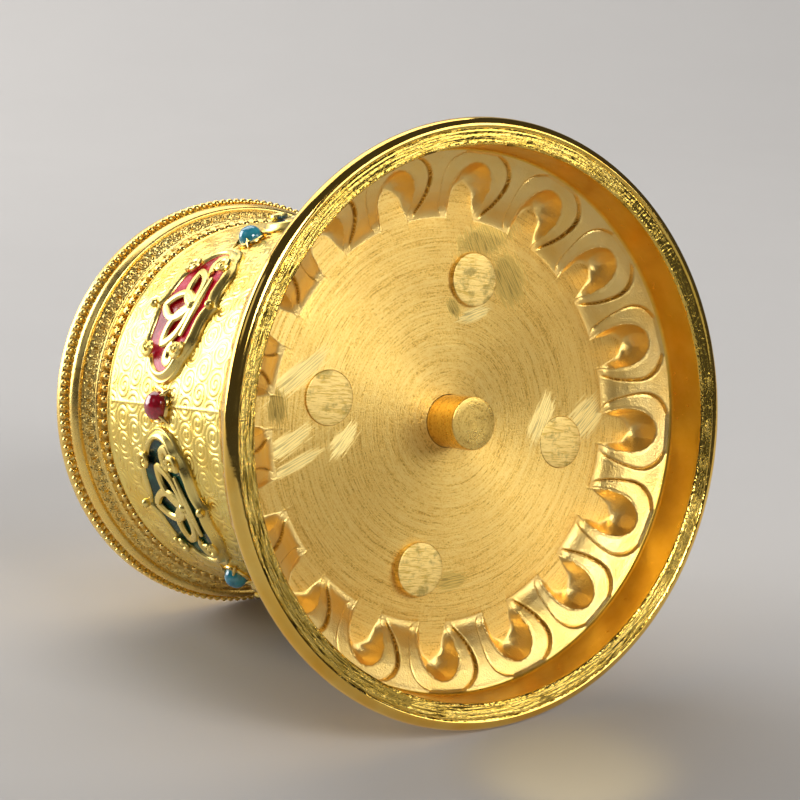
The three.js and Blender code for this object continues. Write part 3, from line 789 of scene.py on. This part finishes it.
# ---- drum ----
def scroll_field(girth, up, width, height, scale=1.0):
    """Engraved scrollwork over one mirrored half of a sector: a packed field of small spirals.

    Returns heights from 0 in the grooves to 1 between them."""
    spacing = 3.1 * scale
    row_height = spacing * 0.87
    line_pitch, groove_share = 0.66 * scale, 0.18
    best = np.full(girth.shape, 1e9)
    field = np.zeros(girth.shape)
    for row in range(int(height / row_height) + 2):
        for column in range(int(width / spacing) + 2):
            jitter = RNG.uniform(-0.42, 0.42, 2) * scale
            dx = girth - (column + 0.5 * (row % 2)) * spacing - jitter[0]
            dy = up - row * row_height - jitter[1]
            hand = 1 if (row + column) % 2 else -1
            distance = np.hypot(dx, dy)
            curl = distance / line_pitch - hand * np.arctan2(dy, dx) / (2 * math.pi)
            off = np.abs((curl + 0.5) % 1 - 0.5)
            near = distance < best
            best = np.where(near, distance, best)
            field = np.where(near, 1 - np.exp(-((off / groove_share) ** 2)), field)
    return field


def mirrored_scrolls(columns, rows_up, radius, seam_height, scale=1.0):
    """Scrollwork all round, in six sectors that are each mirrored about their middle."""
    per_sector = columns // SECTORS
    girth_half = radius * SECTOR / 2
    step = (np.arange(per_sector) - per_sector / 2) * (SECTOR / per_sector) * radius
    girth, up = np.meshgrid(np.abs(step), rows_up, indexing="xy")
    field = scroll_field(girth, up, girth_half, rows_up[-1], scale)
    seam = ridge(girth_half - girth, 0.3)
    return np.tile(field * (1 - seam) + seam * seam_height, (1, SECTORS))


def engraved_drum():
    """The drum's shell, engraved all over, with a beaded ring at each end."""
    low, high = extent("drum_shell")[:2]
    inner_r = DRUM_R - 0.9
    field_low, field_high = low + 2.0, high - 1.6
    field_z = np.linspace(field_low, field_high, 290)
    foot_band = fillet([
        (inner_r, low), (DRUM_R + 0.2, low, 0.1), (DRUM_R + 0.5, low + 0.5, 0.25),
        (DRUM_R + 0.5, low + 1.1, 0.25), (DRUM_R + 0.02, low + 1.5, 0.1), (DRUM_R, low + 1.8),
    ])
    head_band = fillet([
        (DRUM_R, high - 1.4), (DRUM_R + 0.15, high - 1.2, 0.1), (DRUM_R + 0.1, high - 0.9, 0.1),
        (DRUM_R - 0.2, high - 0.3), (DRUM_R - 0.4, high, 0.1), (inner_r, high),
    ])[1:]
    inside = [(inner_r, high - 2.0), (inner_r, (low + high) / 2), (inner_r, low + 2.0)]
    field_rows = np.stack([np.full(len(field_z), DRUM_R), field_z], 1)
    profile = np.concatenate([foot_band, field_rows, head_band, inside])
    columns, depth = 1500, 0.08
    field = mirrored_scrolls(columns, field_z - field_low, DRUM_R, 1.5)
    fade = np.minimum(smooth((field_z - field_low) / 0.4), smooth((field_high - field_z) / 0.4))[:, None]
    relief = on_rows(len(foot_band), (field - 0.8) * depth * fade)
    turned("engraved_drum", "drum", "drum_shell", profile, columns, DRUM_GOLD, relief, DRUM_REST)
    rings = [(104, DRUM_R + 0.1, high - 0.5, 0.45), (96, DRUM_R + 0.32, low + 0.8, 0.55)]
    bead_rings("drum_beads", "drum", RELIEF_GOLD, rings, 10, 5, DRUM_REST)


HALF_LENGTH, HALF_HEIGHT, LOBE_R, BORDER = 8.5, 6.3, 3.9, 1.35


def cartouche_outline(inset, per_span=14):
    """The cartouche's outline, x along the girth and y up, anticlockwise from its right end."""
    lobe_r = LOBE_R - inset
    lobe_x = HALF_LENGTH - LOBE_R
    peak = HALF_HEIGHT - inset
    shoulder_x, shoulder_y = lobe_x * 0.6, peak - 0.9
    end = math.radians(68)
    quarter = [(lobe_x + lobe_r * math.cos(a), lobe_r * math.sin(a)) for a in np.linspace(0, end, per_span)]
    for a, b, c in (
        (quarter[-1], (lobe_x, shoulder_y), (shoulder_x, shoulder_y)),
        ((shoulder_x, shoulder_y), (shoulder_x * 0.3, shoulder_y), (0, peak)),
    ):
        quarter += arc_towards(a, b, c, per_span)[1:]
    right_up = np.array(quarter)
    left_up = right_up[::-1][1:] * (-1, 1)
    left_down = right_up[1:] * (-1, -1)
    right_down = right_up[::-1][1:-1] * (1, -1)
    return np.concatenate([right_up, left_up, left_down, right_down])


def frame_parts():
    """The cartouche frame: two rounded borders with a groove between, and curls at its four cusps."""
    outer, inner = cartouche_outline(0.0), cartouche_outline(BORDER)
    section = [
        (0.00, -0.2), (-0.04, 0.12), (0.02, 0.34), (0.12, 0.45), (0.22, 0.42), (0.30, 0.36), (0.38, 0.46),
        (0.50, 0.70), (0.64, 0.84), (0.78, 0.86), (0.90, 0.76), (0.98, 0.60), (1.0, 0.2), (0.98, -0.2),
    ]
    rings = [level_ring(outer * (1 - t) + inner * t, h) for t, h in section]
    parts = [(np.concatenate(rings), [grid_quads(len(section), len(outer), True)])]
    lobe_x = HALF_LENGTH - LOBE_R
    for sx in (-1, 1):
        for sy in (-1, 1):
            turns = np.linspace(0, 2.2 * math.pi, 26)
            size = 0.95 - 0.62 * turns / turns[-1]
            cx, cy = lobe_x * 1.06, LOBE_R * 0.74
            path = np.stack([
                sx * (cx - size * np.cos(turns + 0.9)), sy * (cy + size * np.sin(turns + 0.9)),
                0.95 + 0.1 * np.sin(turns / 2.2),
            ], 1)
            parts.append(tube(path, np.linspace(0.36, 0.22, len(path))))
            parts.append(bead((sx * cx, sy * cy, 1.0), 0.34, 10, 5))
    for sy in (-1, 1):
        parts.append(bead((0, sy * (HALF_HEIGHT - 0.45), 0.95), 0.5, 12, 7))
    return parts


def flower_parts():
    """A lotus flower between two curling leaves, drawn in rounded gold bars."""
    parts = []
    level, base_y = 0.62, -1.9

    def bar(points, width, closed=False):
        parts.append(tube(level_ring(points, level), width, closed, 0.7))

    def petal(tilt_deg, length, half_width):
        t = full_turn(40)
        rise = (1 - np.cos(t)) / 2 * length
        side = half_width * np.sin(t) * np.clip(np.sin(math.pi * rise / length), 0, 1) ** 0.35
        tilt = math.radians(tilt_deg)
        x = side * math.cos(tilt) + rise * math.sin(tilt)
        y = base_y - side * math.sin(tilt) + rise * math.cos(tilt)
        bar(np.stack([x, y], 1), 0.47, closed=True)

    petal(0, 5.6, 1.5)
    for sx in (-1, 1):
        petal(sx * 56, 5.2, 1.2)
        turns = np.linspace(0, 1, 34)
        curl = 1.9 * math.pi * turns
        size = 1.35 * (1 - 0.72 * turns)
        x = 5.4 - size * np.cos(curl + 0.4)
        y = -0.9 + size * np.sin(curl + 0.4) - 0.9 * (1 - turns)
        bar(np.stack([sx * x, y], 1), np.interp(turns, [0, 0.3, 1], [0.3, 0.52, 0.3]))
    stem = np.linspace(-1, 1, 24)
    bar(np.stack([3.4 * stem, -2.75 + 0.55 * stem ** 2], 1), 0.5 - 0.2 * np.abs(stem))
    parts.append(bead((0, base_y, level), 0.62, 12, 7))
    return parts


def enamel_parts():
    """The enamel's pillowed surface, filling the frame up to its inner border."""
    rim = cartouche_outline(BORDER - 0.1)
    base = -0.1
    rings = [level_ring(rim, base)]
    for share in np.linspace(1, 0, 15)[:-1]:
        height = 0.5 - 0.12 * (1 - share ** 6) + 0.06 * np.cos(share * 7)
        rings.append(level_ring(rim * share, height))
    return closed_stack(rings, base, 0.4)


def fit_to_drum(name, parts, angle, material, slot, *nodes):
    """Bends an ornament's closed parts onto the drum and puts them there as one piece."""
    vertices, faces = joined([(points, outward(points, faces)) for points, faces in parts])
    settle(make_object(name, on_drum(vertices, angle), faces, [material]), "drum", slot, *nodes)


def cartouches():
    border, flower, filling = frame_parts(), flower_parts(), [enamel_parts()]
    for i in range(SECTORS):
        angle = DRUM_REST + SECTOR * (i + 0.5)
        n = i + 1
        fit_to_drum(f"scrolled_frame_{n}", border, angle, MOTIF_GOLD, "gilt_casting", f"cartouche_frame_{n}")
        look, slot = ENAMELS[i % 3], ENAMEL_SLOTS[i % 3]
        fit_to_drum(f"enamel_pool_{n}", filling, angle, look, slot, f"enamel_inlay_{n}")
        fit_to_drum(f"lotus_flower_{n}", flower, angle, MOTIF_GOLD, "gilt_casting", f"flower_motif_{n}")


def stone_parts(size):
    """A high round cabochon with a softly flattened crown, of the given radius."""
    base, girdle, crown = -0.15, 0.25, 1.5
    outline = [(size, base), (size, girdle)]
    for a in np.linspace(0, math.pi / 2, 12)[1:-1]:
        outline.append((size * math.cos(a) ** 0.85, girdle + crown * math.sin(a)))
    turn = full_turn(36)
    return closed_stack([spun(r, h, turn) for r, h in outline], base, 1.76)


def setting_parts(size):
    """A thin collar round a stone of the given radius, with four small leaves that hold it."""
    parts = [tube(spun(size + 0.1, 0.2, full_turn(40)), 0.24, closed=True)]
    for k in range(4):
        a = math.pi / 4 + math.pi / 2 * k
        reach = np.linspace(0.95, -0.12, 10)
        lift = np.interp(reach, [-0.12, 0.1, 0.95], [0.8, 0.5, 0.1])
        path = np.stack([(size + reach) * math.cos(a), (size + reach) * math.sin(a), lift], 1)
        parts.append(tube(path, np.interp(reach, [-0.12, 0.2, 0.95], [0.1, 0.26, 0.1])))
    return parts


def drum_stones():
    sizes = (1.6, 1.3)
    for i in range(SECTORS):
        gem, setting = stone_parts(sizes[i % 2]), setting_parts(sizes[i % 2])
        angle = DRUM_REST + SECTOR * i
        n = i + 1
        fit_to_drum(f"cabochon_{n}", [gem], angle, STONES[i % 2], STONE_SLOTS[i % 2], f"drum_stone_{n}")
        fit_to_drum(f"stone_setting_{n}", setting, angle, RELIEF_GOLD, "gilt_casting")


# ---- roof and finial ----
SCREW_HOLE_R = 1.8


def flared_roof():
    """The flared roof: a scrolled band, a plain roll and a row of beads under a plain edge."""
    low, high, edge_r = extent("flared_roof")
    neck = fillet([(20.75, low + 0.15), (21, low + 0.2, 0.06), (21.1, low + 0.45, 0.1), (21.02, low + 0.52)])
    band = divided([(21.02, low + 0.56), (21.3, low + 1.2), (21.9, low + 2.15)], 0.075, closed=False)
    roll = fillet([
        (21.92, low + 2.2), (22.3, low + 2.15, 0.2), (22.75, low + 2.9, 0.35), (22.75, low + 3.5, 0.2),
        (22.6, low + 3.8, 0.1), (22.55, low + 3.9),
    ])
    rim = fillet([
        (22.6, low + 4.1), (22.95, low + 4.3, 0.1), (edge_r - 0.1, low + 4.7, 0.2),
        (edge_r - 0.1, low + 5.5, 0.3), (edge_r - 0.6, low + 6.0, 0.15), (20.2, high - 0.1, 0.1),
        (19.8, high, 0.1), (SCREW_HOLE_R, high),
    ])
    pocket_r, pocket_top = 3.6, low + 4.7
    inside = [(SCREW_HOLE_R, pocket_top), (pocket_r, pocket_top), (pocket_r, low), (20.3, low),
              (20.4, low + 0.1)]
    profile = np.concatenate([neck, band, roll, rim, inside])
    columns = 1500
    scrolls = mirrored_scrolls(columns, band[:, 1] - band[0, 1] + 0.4, 21.5, 1.0, 0.42)
    fade = np.sin(np.linspace(0, math.pi, len(band)))[:, None] ** 0.4
    relief = on_rows(len(neck), 0.2 * (scrolls - 0.7) * fade)
    turned("flared_roof_body", "drum", "flared_roof", profile, columns, ROOF_GOLD, relief)
    rings = [(160, edge_r - 0.38, low + 4.3, 0.42), (104, 20.86, low + 0.02, 0.2)]
    bead_rings("roof_beads", "drum", ROOF_GOLD, rings, 8, 5)


def lotus_dome():
    """The dome on the roof, with two rows of lotus petals under a plain neck."""
    low, high, edge_r = extent("roof_dome")
    neck_r = 5.0
    shell_r = edge_r - 0.7
    spring, crown = low + 1.3, high - 0.9
    turn = np.linspace(0, math.pi / 2, 110)
    shell = np.stack([neck_r + (shell_r - neck_r) * np.cos(turn),
                      spring + (crown - spring) * np.sin(turn)], 1)
    foot = fillet([
        (SCREW_HOLE_R, low), (edge_r - 0.3, low, 0.1), (edge_r, low + 0.5, 0.3),
        (edge_r - 0.1, low + 1.0, 0.2),
    ])
    neck = fillet([(neck_r, high - 0.5), (neck_r, high, 0.15), (SCREW_HOLE_R, high)])
    columns = 960
    angle = full_turn(columns)[None, :]
    rise = np.linspace(0, 1, len(shell))[:, None]
    outer_top, inner_foot, inner_top = 0.62, 0.42, 0.95
    outer = outer_petals(angle, rise, 0.0, outer_top, PETALS) * (rise < outer_top)
    inner = outer_petals(angle, rise, inner_foot, inner_top, PETALS, 0.5) * (rise > inner_foot)
    relief = on_rows(len(foot), 0.34 * np.maximum(outer, inner * 0.9) - 0.25)
    profile = np.concatenate([foot, shell, neck])
    turned("lotus_dome", "drum", "roof_dome", profile, columns, RELIEF_GOLD, relief)
    bead_rings("dome_beads", "drum", RELIEF_GOLD, [(72, edge_r - 0.35, low + 0.75, 0.62)], 10, 5)


def finial():
    """The cup, a small lotus bud, and the pointed jewel above it."""
    low, high, _ = extent("finial_cup")
    waist = low + 2.1
    cup = divided(fillet([
        (SCREW_HOLE_R, low), (4.6, low, 0.15), (4.6, low + 0.6, 0.2), (3.2, low + 1.4, 0.4),
        (3.0, waist, 0.3), (4.6, low + 3.2, 0.4), (5.15, high, 0.15), (SCREW_HOLE_R, high),
    ]), 0.15)

    def cup_relief(r, z, angle):
        t = (z - waist) / (high - waist)
        return 0.22 * (outer_petals(angle, np.clip(t, 0, 1), 0, 1.05, 8) - 0.9) * smooth(t * 4) * (r > 2.9)

    turned("lotus_cup", "drum", "finial_cup", cup, 240, RELIEF_GOLD, cup_relief)
    base, tip, _ = extent("finial_jewel")
    hole_top = base + 3.3
    jewel = divided(fillet([
        (0, hole_top), (SCREW_HOLE_R, hole_top), (SCREW_HOLE_R, base), (3.6, base, 0.2),
        (4.5, base + 1.2, 0.5), (4.6, base + 2.6, 0.6), (3.9, base + 4.4, 0.6), (2.3, base + 6.3, 0.6),
        (1.0, base + 8.2, 0.6), (0.45, base + 9.9, 0.2), (0, tip),
    ]), 0.15, closed=False)

    def jewel_relief(r, z, angle):
        swirl = np.cos(8 * angle + (z - base) * 0.5)
        return 0.12 * swirl * smooth((r - 0.6) / 2) * (r > 1.9) * smooth((z - base - 0.3) / 1.5)

    turned("swirled_jewel", "drum", "finial_jewel", jewel, 240, CAST_GOLD, jewel_relief)


def finish_carried_nodes():
    """Gives the CAD nodes that stay, which are small and mostly inside, their finishes."""
    looks = {
        "drum_bottom_plate": CAST_GOLD, "drum_top_plate": CAST_GOLD, "bottom_bush": BRASS, "top_bush": BRASS,
        "bottom_washer": BRASS, "top_washer": BRASS, "finial_screw": BRASS, "retaining_clip": STEEL,
        "mantra_scroll": PAPER, "scroll_core": BOARD,
    }
    for node, look in looks.items():
        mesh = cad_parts[node].data
        mesh.materials.clear()
        mesh.materials.append(look)


# ---- camera, stage and light ----
CAMERA_PLACE = Vector((0.12521, 0.00502, -0.16225))  # below and beside the foot
CAMERA_LOOK = Vector((-0.57348, -0.01532, 0.81907))
CAMERA_UP = Vector((0.04617, 0.99763, 0.05099))
LENS_MM = 94.5
PULL = Vector((-0.17611, -0.97469, 0.13768))  # gravity, with the wheel lying on its foot ring and roof


def put(name, data, place, turn):
    """A new object in the scene, at a place in metres and turned by a 3 by 3 matrix."""
    item = bpy.data.objects.new(name, data)
    item.matrix_world = Matrix.Translation(place) @ turn.to_4x4()
    bpy.context.collection.objects.link(item)
    return item


def camera():
    data = bpy.data.cameras.new("photo_camera")
    data.lens = LENS_MM
    data.sensor_width = 36
    data.clip_start = 0.01
    back = -CAMERA_LOOK.normalized()
    right = CAMERA_UP.cross(back).normalized()
    turn = Matrix((right, back.cross(right), back)).transposed()
    bpy.context.scene.camera = put("photo_camera", data, CAMERA_PLACE, turn)


def paper_finish(name, color):
    """Pale paper with painted shade that greys it a little towards its front, and that shows only from its
    upper side.
    """
    f = Finish(name, color, 0.9, 0.0)
    mottled = f.ramp(f.noise(40, 3.0), [(0.3, tuple(c * 0.985 for c in color)), (0.7, color)])
    # painted shade: the paper is darkened towards its front, where the light falls off
    shade = f.spread(f.place[2], -0.035, 0.03, 0.0, 0.26)
    f.colored(f.mix("RGBA", shade, mottled, (0, 0, 0, 1)))
    one_sided = f.node("ShaderNodeMixShader")
    back = f.node("ShaderNodeNewGeometry").outputs["Backfacing"]
    clear = f.node("ShaderNodeBsdfTransparent").outputs[0]
    for socket, value in zip(one_sided.inputs, (back, f.shader.outputs[0], clear)):
        f.feed(socket, value)
    f.fill(f.tree.nodes["Material Output"], Surface=one_sided.outputs[0])
    return f.material


def sheet(name, points, faces, material, place, turn):
    """A sheet of the stage, from points in metres."""
    mesh = bpy.data.meshes.new(name)
    mesh.from_pydata(points, [], faces)
    mesh.polygons.foreach_set("use_smooth", [True] * len(faces))
    mesh.materials.append(material)
    piece = put(name, mesh, place, turn)
    return piece


def photo_axes():
    """Right, up and towards the camera, with up against gravity as the wheel lies."""
    up = -PULL.normalized()
    right = up.cross(-CAMERA_LOOK).normalized()
    return right, up, right.cross(up)


def stage():
    """A paper sweep that the wheel lies on, and a ground that it stands on for the upright views."""
    right, up, front = photo_axes()
    flat = Vector((PULL.x, PULL.y, 0)).normalized()
    touch = flat * FOOT_R * MM + Vector((0, 0, 1.2 * MM))
    paper = paper_finish("pale_paper", (0.60, 0.58, 0.56))
    # the paper ends just right of the wheel, so that the foot ring reflects the dark room beyond it
    left_edge, right_edge, bend_at, bend_r, tall = -1.2, 0.28, 0.5, 0.4, 1.6
    profile = [(1.4, 0.0), (0.3, 0.0)]
    for a in np.linspace(0, math.pi / 2, 17):
        profile.append((-bend_at - bend_r * math.sin(a), bend_r * (1 - math.cos(a))))
    profile.append((-bend_at - bend_r, tall))
    points = [(x, h, d) for d, h in profile for x in (left_edge, right_edge)]
    faces = [(2 * i, 2 * i + 1, 2 * i + 3, 2 * i + 2) for i in range(len(profile) - 1)]
    turn = Matrix((right, up, front)).transposed()
    sheet("paper_sweep", points, faces, paper, touch - up * 0.0001, turn)
    half = 1.5
    corners = [(-half, -half, 0), (half, -half, 0), (half, half, 0), (-half, half, 0)]
    ground = sheet("ground", corners, [(0, 1, 2, 3)], paper, Vector((0, 0, -0.00005)), Matrix.Identity(3))
    ground.visible_shadow = False
    ground.visible_diffuse = False
    ground.visible_glossy = False


def by_photo(to_right, above, in_front):
    """A place given by how far it is right of, above and in front of the foot, in metres."""
    right, up, front = photo_axes()
    return right * to_right + up * above + front * in_front


def lamp(name, kind, place, target, energy, color):
    data = bpy.data.lights.new(name, kind)
    data.energy = energy
    data.color = color
    return put(name, data, place, (target - place).to_track_quat("-Z", "Y").to_matrix())


def softbox(name, offset, size, radiance, color=(1, 1, 1)):
    """A soft square lamp that faces the foot."""
    energy = radiance * math.pi * size * size
    light = lamp(name, "AREA", by_photo(*offset), Vector((0, 0, 0.02)), energy, color)
    light.data.shape = "SQUARE"
    light.data.size = size


def gold_glow():
    """The warm light that the gilt foot throws down onto the paper in front of it."""
    place, target = by_photo(0.007, -0.011, 0.023), by_photo(0.007, -0.030, 0.015)
    light = lamp("gold_glow", "SPOT", place, target, 0.007, (1.0, 0.78, 0.30))
    light.data.spot_size = math.radians(60)
    light.data.spot_blend = 0.8
    light.data.shadow_soft_size = 0.002
    light.visible_glossy = False
    light.visible_camera = False


def lights():
    gold_glow()
    softbox("top_softbox", (-0.25, 0.85, -0.7), 1.1, 2.4, (1.0, 0.99, 0.98))
    softbox("key_softbox", (-0.75, 0.75, 0.5), 0.4, 0.6)
    softbox("face_softbox", (0.5, 0.55, 0.8), 0.35, 13.5)
    softbox("right_softbox", (0.95, 0.35, 0.3), 0.5, 3.1)
    softbox("left_softbox", (-1.0, 0.3, -0.4), 0.7, 6.0)
    world = bpy.data.worlds.new("studio")
    bpy.context.scene.world = world
    world.use_nodes = True
    background = world.node_tree.nodes["Background"].inputs
    background["Color"].default_value = (0.80, 0.79, 0.77, 1)
    background["Strength"].default_value = 0.06
    bpy.context.scene.view_settings.view_transform = "Standard"


camera()
stage()
lights()
lotus_foot()
beaded_deck()
deck_rivets()
axle_rod()
engraved_drum()
cartouches()
drum_stones()
flared_roof()
lotus_dome()
finial()
finish_carried_nodes()

bpy.context.view_layer.update()
